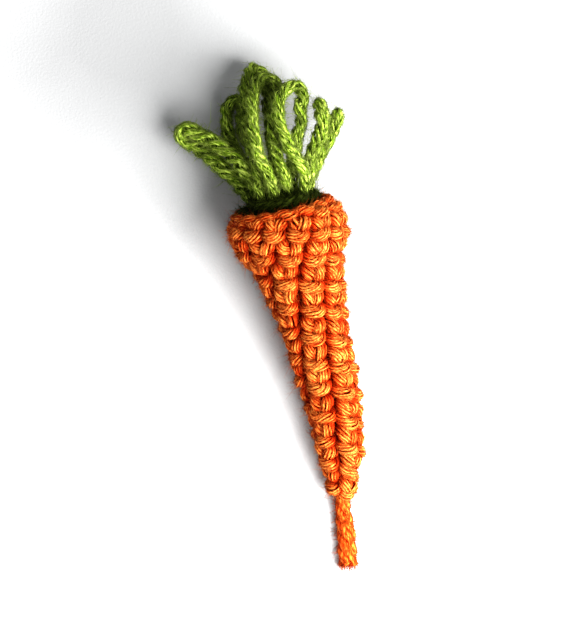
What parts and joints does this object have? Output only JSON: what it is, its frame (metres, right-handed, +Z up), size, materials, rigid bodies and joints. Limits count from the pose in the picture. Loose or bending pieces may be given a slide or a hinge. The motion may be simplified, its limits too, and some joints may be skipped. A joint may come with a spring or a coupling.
{
  "type": "crocheted toy carrot",
  "caption": "Small toy carrot of crocheted yarn: a stuffed orange cone of stitches with a yarn tail, and a tuft of green yarn loops held in a cap. It lies on its side.",
  "frame": {"origin": "on the surface that the carrot lies on, in the middle of its footprint", "axes": "+Y along the carrot from the tip to the leaves, +Z up, +X to the right when the leaves point away"},
  "size_m": [0.0324, 0.0986, 0.022],
  "materials": {
    "orange_yarn": "matt plied acrylic yarn with a soft halo of fibres",
    "green_yarn": "matt plied acrylic yarn with a soft halo of fibres",
    "fibre_fill": "loose matt fibre"
  },
  "bodies": {
    "root": {"crocheted_root": "orange_yarn", "stuffing": "fibre_fill", "leaf_cap": "green_yarn", "leaf_loop_left": "green_yarn", "leaf_loop_low": "green_yarn", "leaf_loop_tall": "green_yarn", "leaf_loop_behind": "green_yarn", "leaf_loop_right": "green_yarn", "leaf_strand_left": "green_yarn", "leaf_strand_right": "green_yarn"}
  },
  "joints": []
}
